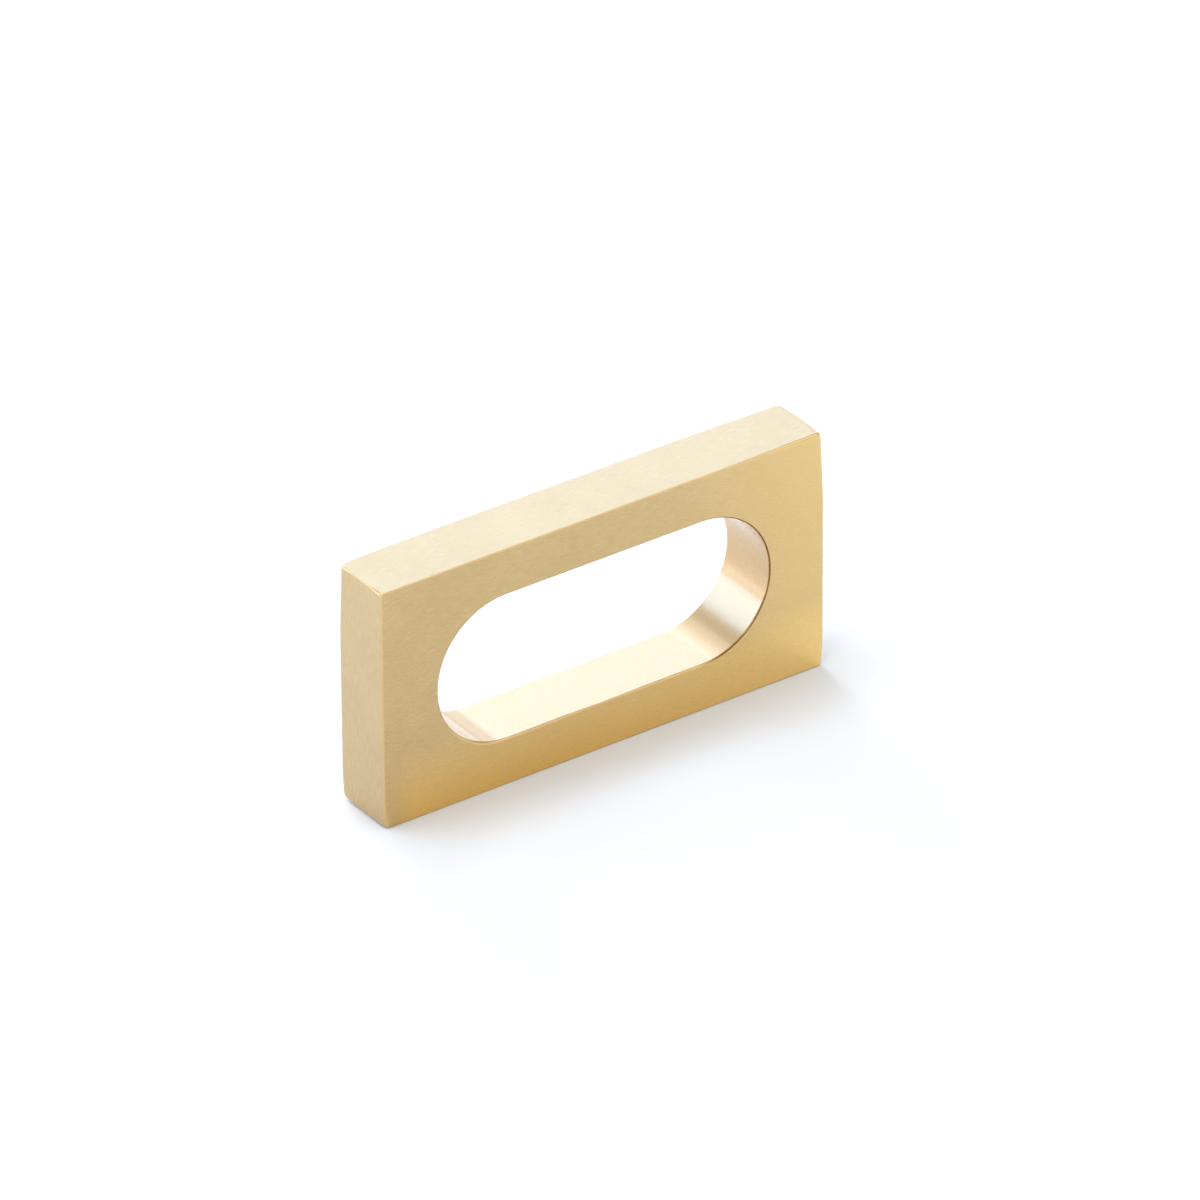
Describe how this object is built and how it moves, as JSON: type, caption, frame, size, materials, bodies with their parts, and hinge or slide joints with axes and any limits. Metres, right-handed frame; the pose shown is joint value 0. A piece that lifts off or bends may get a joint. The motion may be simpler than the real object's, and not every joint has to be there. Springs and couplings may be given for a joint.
{
  "type": "cabinet pull",
  "caption": "Flat solid brass bar pull that stands on its narrow edge, with a stadium-shaped finger slot through it and blind tapped screw holes in its base.",
  "frame": {"origin": "middle of the flat mounting edge, on the plane that meets the drawer front", "axes": "+X along the bar's length, +Y through its thickness from the front face to the back face, +Z away from the drawer front"},
  "size_m": [0.075, 0.0104, 0.038],
  "materials": {
    "satin_brass": "fine brushed satin brass under clear lacquer"
  },
  "bodies": {
    "root": {"pull_body": "satin_brass"}
  },
  "joints": []
}
